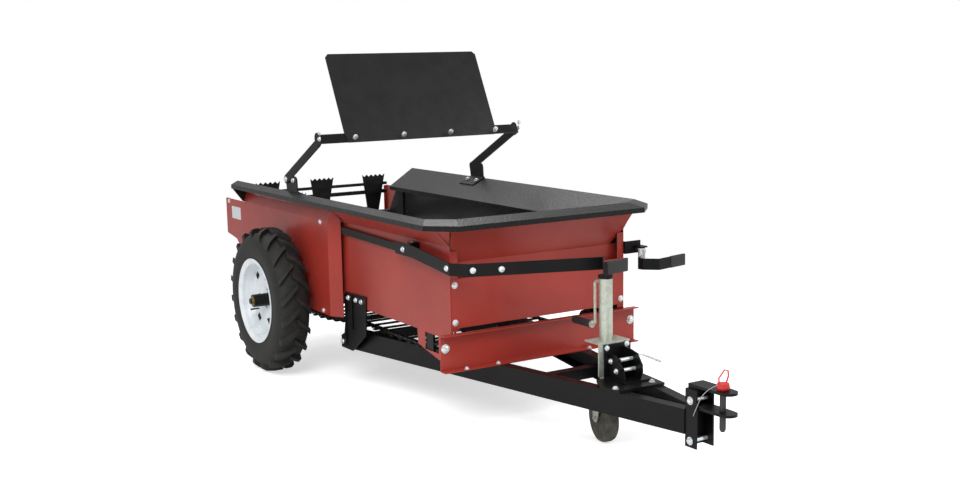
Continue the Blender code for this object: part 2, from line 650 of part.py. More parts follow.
# ---- levers -------------------------------------------------------------------------------------
def levers(black, grey):
    """Drive levers on both sides with their brackets and pull links."""
    x, y, z = LEVER_PIVOT_R
    base = WALL_X + GAP
    link_x = 0.4465
    node("lever_bracket_right", black, [
        box(-base, -base - 0.004, y - 0.030, y + 0.030, 0.700, 0.760),
        box(-base, x - 0.016, y - 0.016, y + 0.016, 0.7545, 0.760),
    ])
    drop = [(0.352, 0.7345), (1.350, 0.735)]                 # the links' (y, z) behind the guards
    right = [(-link_x, -0.205, 0.7209)] + [(-link_x, *place) for place in drop]
    node("lever_link_right", grey, [strip(right, 0.032, 0.006)])
    path = [(-0.468, -0.214, 0.7270), (-0.468, -0.360, 0.7255), (-0.468, -0.660, 0.6925),
            (-0.440, -0.748, 0.6970), (0.064, -0.944, 0.7005),
            (-0.014, -1.046, 0.7005), (0.120, -1.022, 0.7005)]
    hub = cylinder("z", (x, y, 0), 0.012, 0.704, 0.7540, 14)
    ear = box(x - 0.018, x + 0.004, y - 0.010, y + 0.010, 0.715, 0.735)
    node("lever_right", black, [strip(path, 0.050, 0.006), ear, hub], origin=LEVER_PIVOT_R)

    x, y, z = LEVER_PIVOT_L
    low, high = 0.657, 0.7105
    arm = box(base, x + 0.018, y + 0.030, y + 0.036, low, high)
    seat = box(x - 0.018, x + 0.018, y - 0.018, y + 0.0305, 0.684, 0.690)
    flange = box(base, base + 0.004, y + 0.030, y + 0.100, low, high)
    node("lever_bracket_left", black, [arm, seat, flange])
    left = [(link_x, -0.520, 0.6900)] + [(link_x, *place) for place in drop]
    node("lever_link_left", grey, [strip(left, 0.032, 0.006)])
    path = [(0.499, -0.632, 0.6215), (0.458, -0.672, 0.6215), (0.463, -0.696, 0.6215),
            (0.513, -0.742, 0.6215), (0.683, -0.708, 0.6225)]
    hub = cylinder("z", (x, y, 0), 0.014, 0.600, 0.6835, 14)
    node("lever_left", black, [strip(path, 0.048, 0.006), hub], origin=LEVER_PIVOT_L)


# ---- tongue jack ---------------------------------------------------------------------------------
def jack(black, zinc, rubber):
    """Jack on a swing mount: tube, crank, telescopic leg and castering wheel."""
    plate_low, plate_high = BEAM_TOP + GAP, BEAM_TOP + 0.0103
    outline = [(-0.075, -1.078), (0.132, -1.090), (0.108, -1.262), (-0.108, -1.262), (-0.124, -1.160)]
    node("jack_plate", black, [prism(outline, "z", plate_low, plate_high)])
    low = plate_high + GAP
    near = [(-1.176, low), (-1.077, low), (-1.077, 0.374), (-1.119, 0.374), (-1.168, 0.328)]
    far = [(-1.182, low), (-1.077, low), (-1.077, 0.398), (-1.1235, 0.3935), (-1.167, 0.384),
           (-1.1965, 0.345), (-1.199, 0.317)]
    cheeks = [prism(near, "x", -0.016, -0.010), prism(far, "x", 0.050, 0.056)]
    spacers = [cylinder("x", (0, y, z), 0.006, -0.024, 0.062, 12)
               for y, z in ((-1.1397, 0.3600), (-1.1560, 0.3240))]
    foot = box(-0.040, 0.088, -1.204, -1.078, low, low + PLATE)
    back = box(-0.038, 0.0885, -1.0817, -1.0757, low, 0.411)
    node("jack_mount", black, cheeks + spacers + [foot, back])
    center = (JACK_X, JACK_Y, 0)
    face_y = -1.0755 + GAP
    bracket = box(-0.060, 0.089, face_y, face_y + PLATE, 0.2875, 0.4185)
    shelf = box(-0.060, 0.089, face_y, JACK_Y + 0.034, 0.4120, 0.4180)
    sleeve = tube("z", center, JACK_R, JACK_R - 0.003, 0.262, JACK_TOP, 28)
    core = cylinder("z", center, JACK_R - 0.003, 0.25, JACK_TOP - 0.006, 28)
    node("jack_tube", zinc, [sleeve, bracket, shelf], cuts=[core])
    node("jack_cap", black, [cylinder("z", center, JACK_R + 0.003, JACK_TOP + GAP, JACK_TOP + 0.0125, 28)])
    arm_y = -0.948
    high = JACK_TOP - 0.020
    crank = [(JACK_X, JACK_Y + JACK_R + 0.0008, high), (JACK_X, arm_y - 0.008, high),
             (JACK_X, arm_y, high - 0.008), (JACK_X, arm_y, 0.468), (JACK_X, arm_y + 0.008, 0.460),
             (JACK_X, arm_y + 0.020, 0.460)]
    grip = cylinder("y", (JACK_X, 0, 0.460), 0.014, arm_y + 0.016, arm_y + 0.135, 14)
    node("jack_crank", zinc, [tube_along(crank, 0.0055, 10), grip])

    leg_r = JACK_R - 0.003 - 0.0006
    node("jack_leg", zinc, [cylinder("z", center, leg_r, 0.212, 0.520, 24)], origin=(JACK_X, JACK_Y, 0.212),
         smooth=True)
    fork_y = JACK_Y + CASTER_TRAIL
    swivel = Matrix.Translation(center) @ Matrix.Rotation(CASTER_TURN, 4, "Z")
    swivel = swivel @ Matrix.Translation((-JACK_X, -JACK_Y, 0))
    crown = cylinder("z", center, 0.032, 0.2035, 0.2115, 20)
    leg = [(JACK_Y - 0.024, 0.2060), (JACK_Y - 0.022, 0.170), (fork_y - 0.018, 0.092), (fork_y - 0.010, 0.082),
           (fork_y + 0.010, 0.082), (fork_y + 0.018, 0.092), (fork_y + 0.026, 0.170), (fork_y + 0.026, 0.2060)]
    plates = [prism(leg, "x", JACK_X + low_x, JACK_X + low_x + 0.004) for low_x in (-0.0385, 0.0345)]
    bridge = box(JACK_X - 0.0385, JACK_X + 0.0385, JACK_Y - 0.024, fork_y + 0.026, 0.2035, 0.2075)
    bolt = cylinder("x", (JACK_X, fork_y, CASTER_R), 0.006, -0.046, 0.046, 12)
    fork = [bridge, crown] + plates + [bolt]
    tread = [(0.0065, -0.025), (0.084, -0.025), (0.094, -0.021), (CASTER_R, -0.012), (CASTER_R, 0.012),
             (0.094, 0.021), (0.084, 0.025), (0.0065, 0.025)]
    wheel = turned(tread, "x", (JACK_X, fork_y, CASTER_R), 40)
    for bm in fork + [wheel]:
        bm.transform(swivel)
    node("caster_fork", zinc, fork, origin=(JACK_X, JACK_Y, 0.2035))
    node("caster_wheel", rubber, [wheel], origin=swivel @ Vector((JACK_X, fork_y, CASTER_R)), smooth=True)


# ---- road wheels -----------------------------------------------------------------------------------
def road_wheel(label, sign, rubber, white, black):
    """Tyre, dished rim and hub; profiles are (radius, distance from the machine's middle)."""
    axis = (0, WHEEL_Y, WHEEL_Z)
    origin = (sign * 0.598, WHEEL_Y, WHEEL_Z)
    tyre = [(0.188, 0.532), (0.212, 0.524), (0.260, TYRE_IN), (0.305, 0.519), (0.335, 0.530), (WHEEL_Z, 0.560),
            (WHEEL_Z, 0.636), (0.335, 0.666), (0.305, 0.677), (0.260, TYRE_OUT), (0.212, 0.672), (0.188, 0.664)]
    rim = [(0.1875, 0.530), (0.206, 0.522), (RIM_LIP_R, 0.518), (0.200, 0.517), (0.181, 0.528), (0.178, 0.560),
           (0.168, 0.566), (0.168, 0.600), (0.120, 0.606), (0.0316, 0.598), (0.0316, 0.602), (0.120, 0.610),
           (0.170, 0.614), (0.181, 0.650), (0.181, 0.668), (0.200, 0.679), (RIM_LIP_R, 0.678), (0.206, 0.674),
           (0.1875, 0.666)]
    hub = [(0, 0.5005), (0.031, 0.5005), (0.031, 0.685), (0.014, 0.685), (0.014, 0.700), (0, 0.700)]
    for name, mat, profile, closed in (("tyre", rubber, tyre, True), ("wheel_rim", white, rim, True),
                                       ("hub", black, hub, False)):
        points = [(r, sign * x) for r, x in profile]
        node(f"{name}_{label}", mat, [turned(points, "x", axis, 48 if closed else 24, closed)], origin=origin,
             smooth=True)


# ---- assembly ---------------------------------------------------------------------------------------
def clear_scene():
    for obj in list(bpy.data.objects):
        bpy.data.objects.remove(obj, do_unlink=True)


def build():
    clear_scene()
    red = material("red_paint", (0.33, 0.045, 0.032), 0.38)
    black = material("black_paint", (0.012, 0.012, 0.012), 0.40)
    liner = material("black_liner", (0.014, 0.014, 0.014), 0.35)
    zinc = material("zinc_plate", (0.52, 0.54, 0.47), 0.35, 0.9)
    white = material("white_rim", (0.74, 0.78, 0.82), 0.35)
    rubber = material("rubber", (0.025, 0.025, 0.024), 0.85)
    steel = material("dark_steel", (0.03, 0.03, 0.03), 0.60, 0.4)
    wood = material("floor_board", (0.05, 0.045, 0.04), 0.80)
    red_grip = material("red_grip", (0.50, 0.03, 0.03), 0.45)
    for label, sign in SIDES:
        hopper_side(label, sign, red)
        guard(label, sign, red)
        bearing_plate(label, sign, zinc)
        tongue_beam(label, sign, black)
        road_wheel(label, sign, rubber, white, black)
    hopper_front(red)
    front_channel(red)
    hopper_floor(wood)
    coping(liner)
    hanger_frame(black)
    cross_member(black)
    hitch(black, zinc, red_grip)
    axle(black)
    apron(steel)
    apron_shafts(steel, black)
    beater(black)
    raised_panel(black)
    levers(black, steel)
    jack(black, zinc, rubber)


build()
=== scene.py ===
"""Looks of the manure spreader: painted sheet, coated coping, farm wheels, chain apron, beater and jack."""
import math

import bmesh
import bpy
from mathutils import Matrix, Vector


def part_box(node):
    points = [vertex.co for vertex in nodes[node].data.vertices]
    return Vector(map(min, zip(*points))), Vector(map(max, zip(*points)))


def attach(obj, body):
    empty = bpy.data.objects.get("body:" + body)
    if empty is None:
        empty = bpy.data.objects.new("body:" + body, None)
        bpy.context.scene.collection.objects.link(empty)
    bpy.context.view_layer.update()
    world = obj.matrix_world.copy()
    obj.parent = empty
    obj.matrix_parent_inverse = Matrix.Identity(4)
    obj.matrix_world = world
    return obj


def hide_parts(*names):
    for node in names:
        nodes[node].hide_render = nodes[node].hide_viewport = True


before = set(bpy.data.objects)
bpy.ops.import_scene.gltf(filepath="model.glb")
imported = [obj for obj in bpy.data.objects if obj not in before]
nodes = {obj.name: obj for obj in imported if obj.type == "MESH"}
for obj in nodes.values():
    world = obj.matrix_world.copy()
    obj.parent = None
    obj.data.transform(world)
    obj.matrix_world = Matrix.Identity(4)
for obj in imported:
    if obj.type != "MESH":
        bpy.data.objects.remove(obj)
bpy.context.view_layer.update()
scene = bpy.context.scene

# ---- Camera and studio ---------------------------------------------------------------------------
# A plain pale floor and wide soft lamps. The camera stands low, off the machine's right front
# corner, with a slight roll.
CAMERA_PLACE = Vector((-2.9158, -4.8535, 1.5297))
HEADING, PITCH, ROLL = math.radians(-31.6716), math.radians(-8.9257), math.radians(-1.0707)
ahead = Vector((-math.sin(HEADING) * math.cos(PITCH), math.cos(HEADING) * math.cos(PITCH), math.sin(PITCH)))
level = ahead.cross(Vector((0, 0, 1))).normalized()
upright = level.cross(ahead)
right = level * math.cos(ROLL) + upright * math.sin(ROLL)
up = upright * math.cos(ROLL) - level * math.sin(ROLL)
camera_data = bpy.data.cameras.new("camera")
camera_data.lens = 47.51
camera_data.sensor_width = 36.0
camera = bpy.data.objects.new("camera", camera_data)
camera.matrix_world = Matrix.Translation(CAMERA_PLACE) @ Matrix((right, up, -ahead)).transposed().to_4x4()
scene.collection.objects.link(camera)
scene.camera = camera
scene.view_settings.view_transform = "Standard"


def hex_color(code, alpha=1.0):
    """sRGB hex such as "A0463C" turned to linear light."""
    parts = [int(code[i:i + 2], 16) / 255 for i in (0, 2, 4)]
    linear = [c / 12.92 if c <= 0.04045 else ((c + 0.055) / 1.055) ** 2.4 for c in parts]
    return (*linear, alpha)


def add(tree, kind, links=None, **settings):
    """Add one shader node; links gives each input a value or another node's output."""
    made = tree.nodes.new(kind)
    for name, value in settings.items():
        setattr(made, name, value)
    for key, value in (links or {}).items():
        if isinstance(value, bpy.types.NodeSocket):
            tree.links.new(value, made.inputs[key])
        else:
            made.inputs[key].default_value = value
    return made


def new_material(name):
    """An empty material; returns it with its tree and a Principled shader to fill in."""
    mat = bpy.data.materials.new(name)
    mat.use_nodes = True
    tree = mat.node_tree
    return mat, tree, tree.nodes["Principled BSDF"]


def shades(tree, factor, *stops):
    """Colour ramp through (place, hex) stops."""
    ramp = add(tree, "ShaderNodeValToRGB", {"Fac": factor})
    elements = ramp.color_ramp.elements
    while len(elements) < len(stops):
        elements.new(0.5)
    for element, (place, code) in zip(elements, stops):
        element.position = place
        element.color = hex_color(code)
    return ramp.outputs["Color"]


def to_range(tree, value, low, high):
    """Stretch a 0 to 1 value between two limits."""
    return add(tree, "ShaderNodeMapRange", {"Value": value, "To Min": low, "To Max": high}).outputs["Result"]


floor_bm = bmesh.new()
bmesh.ops.create_grid(floor_bm, x_segments=1, y_segments=1, size=40)
floor_mesh = bpy.data.meshes.new("studio_floor")
floor_bm.to_mesh(floor_mesh)
floor_bm.free()
studio_floor = bpy.data.objects.new("studio_floor", floor_mesh)
studio_floor.location.z = -0.0005
scene.collection.objects.link(studio_floor)
floor_mat, tree, shader = new_material("white_studio_floor")
shader.inputs["Base Color"].default_value = (0.86, 0.86, 0.86, 1)
shader.inputs["Roughness"].default_value = 0.9
seen = add(tree, "ShaderNodeLightPath").outputs["Is Camera Ray"]
glow = add(tree, "ShaderNodeEmission", {"Color": (1, 1, 1, 1), "Strength": 0.58})
both = add(tree, "ShaderNodeAddShader", {0: shader.outputs[0], 1: glow.outputs[0]})
place = add(tree, "ShaderNodeTexCoord").outputs["Object"]
away = add(tree, "ShaderNodeVectorMath", {0: place}, operation="LENGTH").outputs["Value"]
fade = add(tree, "ShaderNodeMapRange", {"Value": away, "From Min": 1.2, "From Max": 3.6}).outputs["Result"]
blank = add(tree, "ShaderNodeEmission", {"Color": (1, 1, 1, 1), "Strength": 1.0})
near = add(tree, "ShaderNodeMixShader", {0: fade, 1: both.outputs[0], 2: blank.outputs[0]})
pick = add(tree, "ShaderNodeMixShader", {0: seen, 1: shader.outputs[0], 2: near.outputs[0]})
tree.links.new(pick.outputs[0], tree.nodes["Material Output"].inputs["Surface"])
floor_mesh.materials.append(floor_mat)

world = bpy.data.worlds.new("studio")
world.use_nodes = True
tree = world.node_tree
path = add(tree, "ShaderNodeLightPath")
seen = add(tree, "ShaderNodeMath", {0: path.outputs["Is Camera Ray"], 1: path.outputs["Is Transmission Ray"]},
           operation="MAXIMUM")
strength = to_range(tree, seen.outputs[0], 0.55, 1.0)
tree.links.new(strength, tree.nodes["Background"].inputs["Strength"])
tree.nodes["Background"].inputs["Color"].default_value = (1, 1, 1, 1)
scene.world = world

for name, place, aim, size, power in (                       # lamp, place, aimed at, width, watts
        ("key_lamp", (-3.5, -3.0, 4.2), (0, 0, 0.5), 3.0, 230),
        ("fill_lamp", (3.5, -4.0, 3.0), (0, 0, 0.5), 3.0, 90),
        ("top_lamp", (0.5, 2.5, 4.5), (0, 0.3, 0.5), 3.5, 120)):
    lamp_data = bpy.data.lights.new(name, "AREA")
    lamp_data.size = size
    lamp_data.energy = power
    lamp = bpy.data.objects.new(name, lamp_data)
    lamp.location = place
    lamp.rotation_euler = (Vector(aim) - Vector(place)).to_track_quat("-Z", "Y").to_euler()
    scene.collection.objects.link(lamp)

# ---- Hopper sheet --------------------------------------------------------------------------------
# Folded steel sheet in baked red enamel: side sheets, front wall, bolted board, cross channel
# and wheel guards. The gloss is soft, with orange peel and a few dusty, rubbed places.
def red_enamel_skin(name, coated_inside):
    """Baked red enamel; with coated_inside, faces that look into the hopper are sprayed black."""
    mat, tree, shader = new_material(name)
    coords = add(tree, "ShaderNodeTexCoord").outputs["Object"]
    broad = add(tree, "ShaderNodeTexNoise", {"Vector": coords, "Scale": 2.3, "Detail": 3.0}).outputs["Fac"]
    fine = add(tree, "ShaderNodeTexNoise", {"Vector": coords, "Scale": 34.0, "Detail": 5.0}).outputs["Fac"]
    base = shades(tree, broad, (0.32, "8C2A20"), (0.55, "982F25"), (0.75, "A2372A"))
    dusty = add(tree, "ShaderNodeMath", {0: to_range(tree, fine, -0.35, 0.22), 1: 0.0}, operation="MAXIMUM")
    mixed = add(tree, "ShaderNodeMix", {"Factor": dusty.outputs[0], 6: base, 7: hex_color("A85A4C")},
                data_type="RGBA")
    tree.links.new(mixed.outputs[2], shader.inputs["Base Color"])
    tree.links.new(to_range(tree, fine, 0.28, 0.44), shader.inputs["Roughness"])
    peel = add(tree, "ShaderNodeTexNoise", {"Vector": coords, "Scale": 420.0, "Detail": 1.0}).outputs["Fac"]
    waves = add(tree, "ShaderNodeTexNoise", {"Vector": coords, "Scale": 5.0, "Detail": 1.0}).outputs["Fac"]
    soft = add(tree, "ShaderNodeBump", {"Height": waves, "Strength": 0.25, "Distance": 0.01})
    rough = add(tree, "ShaderNodeBump", {"Height": peel, "Strength": 0.05, "Distance": 0.001,
                                         "Normal": soft.outputs[0]})
    tree.links.new(rough.outputs[0], shader.inputs["Normal"])
    shader.inputs["Coat Weight"].default_value = 0.12
    shader.inputs["Coat Roughness"].default_value = 0.12
    shader.inputs["Specular IOR Level"].default_value = 0.35
    if coated_inside:
        facing = add(tree, "ShaderNodeNewGeometry").outputs["True Normal"]
        from_middle = add(tree, "ShaderNodeVectorMath", {0: coords, 1: (0, -0.35, 0.60)},
                          operation="SUBTRACT")
        outward = add(tree, "ShaderNodeVectorMath", {0: facing, 1: from_middle.outputs[0]},
                      operation="DOT_PRODUCT").outputs["Value"]
        inside = add(tree, "ShaderNodeMath", {0: outward, 1: -0.02}, operation="LESS_THAN").outputs[0]
        skin = add(tree, "ShaderNodeMix", {"Factor": inside, 6: mixed.outputs[2], 7: hex_color("131313")},
                   data_type="RGBA")
        tree.links.new(skin.outputs[2], shader.inputs["Base Color"])
    return mat


def paint_nodes(mat, *names):
    """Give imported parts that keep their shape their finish."""
    for name in names:
        nodes[name].data.materials.clear()
        nodes[name].data.materials.append(mat)


SIDES = (("right", -1), ("left", 1))
paint_nodes(red_enamel_skin("red_baked_enamel", False), "front_board", "front_channel", "guard_right",
            "guard_left")
paint_nodes(red_enamel_skin("red_enamel_black_inside", True), "hopper_side_right", "hopper_side_left",
            "hopper_front_wall")


def finish_mesh(name, bm, mat, body, angle=35, merge=0.0):
    """Close up a bmesh as a piece that rides on a body."""
    if merge:
        bmesh.ops.remove_doubles(bm, verts=bm.verts, dist=merge)
    bmesh.ops.recalc_face_normals(bm, faces=bm.faces)
    mesh = bpy.data.meshes.new(name)
    bm.to_mesh(mesh)
    bm.free()
    mesh.shade_smooth()
    mesh.set_sharp_from_angle(angle=math.radians(angle))
    mesh.materials.append(mat)
    made = bpy.data.objects.new(name, mesh)
    scene.collection.objects.link(made)
    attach(made, body)
    return made


# ---- Bolts ---------------------------------------------------------------------------------------
# Zinc-plated hex and round-head bolts with washers. They are forged, so their crowns are domed and
# their edges broken.
zinc, tree, shader = new_material("bright_zinc_plate")
coords = add(tree, "ShaderNodeTexCoord").outputs["Object"]
spangle = add(tree, "ShaderNodeTexNoise", {"Vector": coords, "Scale": 60.0, "Detail": 3.0}).outputs["Fac"]
tree.links.new(shades(tree, spangle, (0.35, "C9CED0"), (0.65, "EEF2F4")), shader.inputs["Base Color"])
tree.links.new(to_range(tree, spangle, 0.20, 0.34), shader.inputs["Roughness"])
shader.inputs["Metallic"].default_value = 0.55


def bolt(bm, place, direction, radius=0.011, height=0.008, sides=6):
    """Washer and domed head standing on a surface."""
    turn = Vector((0, 0, 1)).rotation_difference(Vector(direction)).to_matrix().to_4x4()
    stand = Matrix.Translation(place) @ turn
    for width, top, thick, count in ((1.35, 1.35, 0.0020, 20), (1.0, 1.0, height * 0.7, sides),
                                     (0.92, 0.55, height * 0.3, sides * 2)):
        move = stand @ Matrix.Translation((0, 0, thick / 2))
        bmesh.ops.create_cone(bm, cap_ends=True, segments=count, radius1=radius * width,
                              radius2=radius * top, depth=thick, matrix=move)
        stand = stand @ Matrix.Translation((0, 0, thick))


bolts = bmesh.new()
board_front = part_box("front_board")[0].y
channel_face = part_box("front_channel")[1].y - 0.004
channel_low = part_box("front_channel")[0].z + 0.0040
hanger_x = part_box("hanger_frame")[1].x - 0.006
for _, sign in SIDES:
    for z in (0.464, 0.615):                                 # front board to the corner flanges
        bolt(bolts, (sign * 0.415, board_front, z), (0, -1, 0), 0.010)
    bolt(bolts, (sign * 0.465, channel_face, 0.365), (0, -1, 0), 0.014, 0.010)
    for y in (0.186, 0.240, 0.316):                          # hanger plate to the side sheet
        bolt(bolts, (sign * hanger_x, y, 0.425), (sign, 0, 0), 0.009)
    bolt(bolts, (sign * hanger_x, 0.390, 0.208), (sign, 0, 0), 0.009)
    for y, z in ((0.482, 0.7625), (0.482, 0.345), (1.647, 0.755)):   # guard's outer face
        bolt(bolts, (sign * 0.490, y, z), (sign, 0, 0), 0.009, 0.005, 12)
    for x in (0.230, 0.380):                                 # channel to the beams below it
        bolt(bolts, (sign * x, channel_face - 0.022, channel_low), (0, 0, 1), 0.008)
bracket_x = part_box("panel_bracket_left")[1].x
for _, sign in SIDES:
    bolt(bolts, (sign * bracket_x, 0.705, 0.9405), (sign, 0, 0), 0.009)
    for y in (0.675, 0.759):                                 # bracket's foot on the coping
        bolt(bolts, (sign * 0.481, y, 0.8745), (-sign * 0.42, 0, 0.907), 0.009)
for z in (0.307, 0.161):                                     # hitch channel's through bolts
    for _, sign in SIDES:
        bolt(bolts, (sign * 0.0416, -1.578, z), (sign, 0, 0), 0.011)
for y, z in ((-1.081 - 0.011, 0.347), (-1.127, 0.314)):      # jack mount's near cheek
    bolt(bolts, (-0.016, y, z), (-1, 0, 0), 0.008)
    bolt(bolts, (0.056, y, z), (1, 0, 0), 0.008)
for x, z in ((-0.027, 0.398), (0.069, 0.404)):               # jack bracket to its mount
    bolt(bolts, (x, -1.0817, z), (0, -1, 0), 0.008)
for x in (-0.099, 0.075):                                    # jack plate to the beams
    bolt(bolts, (x, -1.227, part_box("jack_plate")[1].z), (0, 0, 1), 0.009)
spacer_tubes = ((-1.578, 0.307, -0.0350, 0.0350, 0.0070), (-1.578, 0.161, -0.0350, 0.0350, 0.0070),
                (-1.1397, 0.3600, -0.0095, 0.0495, 0.0075), (-1.1560, 0.3240, -0.0095, 0.0495, 0.0075))
for y, z, low, high, thick in spacer_tubes:                  # place, ends across, radius
    bmesh.ops.create_cone(bolts, cap_ends=True, segments=16, radius1=thick, radius2=thick, depth=high - low,
                          matrix=Matrix.Translation(((low + high) / 2, y, z))
                          @ Matrix.Rotation(math.radians(90), 4, "Y"))
finish_mesh("frame_bolts", bolts, zinc, "chassis", 30)

lever_bolts = bmesh.new()
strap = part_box("lever_right")
for y, z in ((-0.640, 0.6945), (-0.285, 0.7262)):            # near strap's face bolts
    bolt(lever_bolts, (strap[0].x, y, z), (-1, 0, 0), 0.009)
for x, y in ((-0.4220, -0.7550), (-0.3170, -0.7958)):
    bolt(lever_bolts, (x - 0.0011, y - 0.0030, 0.6972), (-0.363, -0.932, 0), 0.009)
bolt(lever_bolts, (-0.452, -0.330, 0.7540), (0, 0, 1), 0.008)
lever_bolts_right = finish_mesh("lever_bolts_right", lever_bolts, zinc, "drive_lever_right", 30)

spring = bmesh.new()
bmesh.ops.create_cone(spring, cap_ends=True, segments=16, radius1=0.0160, radius2=0.0160, depth=0.044,
                      matrix=Matrix.Translation((0.500, -0.640, 0.6590)))
bolt(spring, (0.500, -0.656, 0.670), (0, -1, 0), 0.007)
finish_mesh("lever_spring_left", spring, zinc, "drive_lever_left", 30)

panel_bolts = bmesh.new()
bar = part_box("panel_bar")
lean = Vector((0, -math.sin(math.radians(26.7)), math.cos(math.radians(26.7))))
out = Vector((0, -lean.z, lean.y))
for x in (-0.3665, -0.116, 0.135, 0.3855):
    bolt(panel_bolts, Vector((x, 0.349, 1.128)) + lean * 0.031 + out * 0.0002, out, 0.010, 0.005, 12)
for _, sign in SIDES:
    for back, rise in ((0.028, 0.0440), (0.020, 0.0180)):
        place = Vector((sign * bar[1].x, 0.349, 1.128)) + lean * rise - out * back
        bolt(panel_bolts, place, (sign, 0, 0), 0.008)
    bolt(panel_bolts, (sign * 0.5263, 0.778, 0.9405), (sign, 0, 0), 0.010)
panel_bolt_piece = finish_mesh("panel_bolts", panel_bolts, zinc, "panel_frame", 30)

# ---- Black paint and steel -----------------------------------------------------------------------
# Chassis parts are powder coated satin black with a fine grain, greyer where light catches the
# texture and at rubbed spots.
black_powder, tree, shader = new_material("black_powder_coat")
coords = add(tree, "ShaderNodeTexCoord").outputs["Object"]
broad = add(tree, "ShaderNodeTexNoise", {"Vector": coords, "Scale": 7.0, "Detail": 4.0}).outputs["Fac"]
grain = add(tree, "ShaderNodeTexNoise", {"Vector": coords, "Scale": 520.0, "Detail": 2.0}).outputs["Fac"]
tree.links.new(shades(tree, broad, (0.3, "070707"), (0.7, "0F0F0F")), shader.inputs["Base Color"])
tree.links.new(to_range(tree, broad, 0.30, 0.48), shader.inputs["Roughness"])
shader.inputs["Specular IOR Level"].default_value = 0.20
bump = add(tree, "ShaderNodeBump", {"Height": grain, "Strength": 0.18, "Distance": 0.001})
tree.links.new(bump.outputs[0], shader.inputs["Normal"])
paint_nodes(black_powder, "hanger_frame", "cross_member", "hitch_channel", "clevis", "axle", "panel_bar",
            "jack_plate", "jack_mount", "jack_cap")
for label, _ in SIDES:
    paint_nodes(black_powder, f"tongue_beam_{label}", f"tension_block_{label}", f"panel_bracket_{label}",
                f"panel_arm_{label}", f"lever_bracket_{label}", f"lever_{label}", f"hub_{label}")

dark_steel, tree, shader = new_material("oiled_dark_steel")
coords = add(tree, "ShaderNodeTexCoord").outputs["Object"]
broad = add(tree, "ShaderNodeTexNoise", {"Vector": coords, "Scale": 24.0, "Detail": 6.0}).outputs["Fac"]
tree.links.new(shades(tree, broad, (0.3, "0A0A0A"), (0.7, "181716")), shader.inputs["Base Color"])
tree.links.new(to_range(tree, broad, 0.42, 0.68), shader.inputs["Roughness"])
shader.inputs["Metallic"].default_value = 0.3
bump = add(tree, "ShaderNodeBump", {"Height": broad, "Strength": 0.25, "Distance": 0.002})
tree.links.new(bump.outputs[0], shader.inputs["Normal"])
paint_nodes(dark_steel, "apron", "apron_shaft_front", "apron_shaft_rear", "beater_shaft",
            "beater_row_1", "beater_row_2", "beater_row_3", "beater_row_4", "beater_plate_right",
            "beater_plate_left", "lever_link_right", "lever_link_left")

floor_board, tree, shader = new_material("worn_poly_floor_board")
coords = add(tree, "ShaderNodeTexCoord").outputs["Object"]
broad = add(tree, "ShaderNodeTexNoise", {"Vector": coords, "Scale": 9.0, "Detail": 6.0}).outputs["Fac"]
tree.links.new(shades(tree, broad, (0.3, "24231F"), (0.7, "3A3833")), shader.inputs["Base Color"])
shader.inputs["Roughness"].default_value = 0.55
paint_nodes(floor_board, "hopper_floor")

# ---- Coping --------------------------------------------------------------------------------------
# Folded coping sprayed with thick bed-liner: black and glossy, with a coarse pebbled skin whose
# high spots sparkle.
liner, tree, shader = new_material("sprayed_bed_liner")
coords = add(tree, "ShaderNodeTexCoord").outputs["Object"]
pebble = add(tree, "ShaderNodeTexVoronoi", {"Vector": coords, "Scale": 130.0},
             feature="SMOOTH_F1").outputs["Distance"]
clump = add(tree, "ShaderNodeTexNoise", {"Vector": coords, "Scale": 70.0, "Detail": 3.0}).outputs["Fac"]
tree.links.new(shades(tree, clump, (0.35, "060606"), (0.7, "101010")), shader.inputs["Base Color"])
tree.links.new(to_range(tree, clump, 0.22, 0.40), shader.inputs["Roughness"])
shader.inputs["Specular IOR Level"].default_value = 0.28
height = add(tree, "ShaderNodeMath", {0: pebble, 1: clump}, operation="ADD").outputs[0]
bump = add(tree, "ShaderNodeBump", {"Height": height, "Strength": 0.40, "Distance": 0.003})
tree.links.new(bump.outputs[0], shader.inputs["Normal"])
paint_nodes(liner, "coping_right", "coping_left", "coping_front")

# ---- Raised panel --------------------------------------------------------------------------------
# Sheet with the same black coating, laid on thinner, held to its cross bar by four round-head bolts.
panel_coat, tree, shader = new_material("black_gloss_panel_coat")
coords = add(tree, "ShaderNodeTexCoord").outputs["Object"]
clump = add(tree, "ShaderNodeTexNoise", {"Vector": coords, "Scale": 14.0, "Detail": 5.0}).outputs["Fac"]
tree.links.new(shades(tree, clump, (0.35, "050505"), (0.7, "0B0B0B")), shader.inputs["Base Color"])
tree.links.new(to_range(tree, clump, 0.22, 0.36), shader.inputs["Roughness"])
bump = add(tree, "ShaderNodeBump", {"Height": clump, "Strength": 0.15, "Distance": 0.003})
tree.links.new(bump.outputs[0], shader.inputs["Normal"])
paint_nodes(panel_coat, "panel")

# ---- Tongue jack ---------------------------------------------------------------------------------
# Galvanised jack: mottled zinc tube and bracket, bright crank with a black sleeve.
galvanised, tree, shader = new_material("hot_dip_galvanised")
coords = add(tree, "ShaderNodeTexCoord").outputs["Object"]
spangle = add(tree, "ShaderNodeTexVoronoi", {"Vector": coords, "Scale": 90.0}).outputs["Color"]
cloud = add(tree, "ShaderNodeTexNoise", {"Vector": coords, "Scale": 18.0, "Detail": 5.0}).outputs["Fac"]
patch = add(tree, "ShaderNodeSeparateColor", {"Color": spangle}).outputs[0]
tone = add(tree, "ShaderNodeMix", {"Factor": 0.6, 2: patch, 3: cloud}).outputs[0]
tree.links.new(shades(tree, tone, (0.3, "B2B8AB"), (0.7, "C6CCC0")), shader.inputs["Base Color"])
tree.links.new(to_range(tree, tone, 0.30, 0.52), shader.inputs["Roughness"])
shader.inputs["Metallic"].default_value = 0.7
paint_nodes(galvanised, "jack_tube", "jack_crank", "jack_leg", "caster_fork")

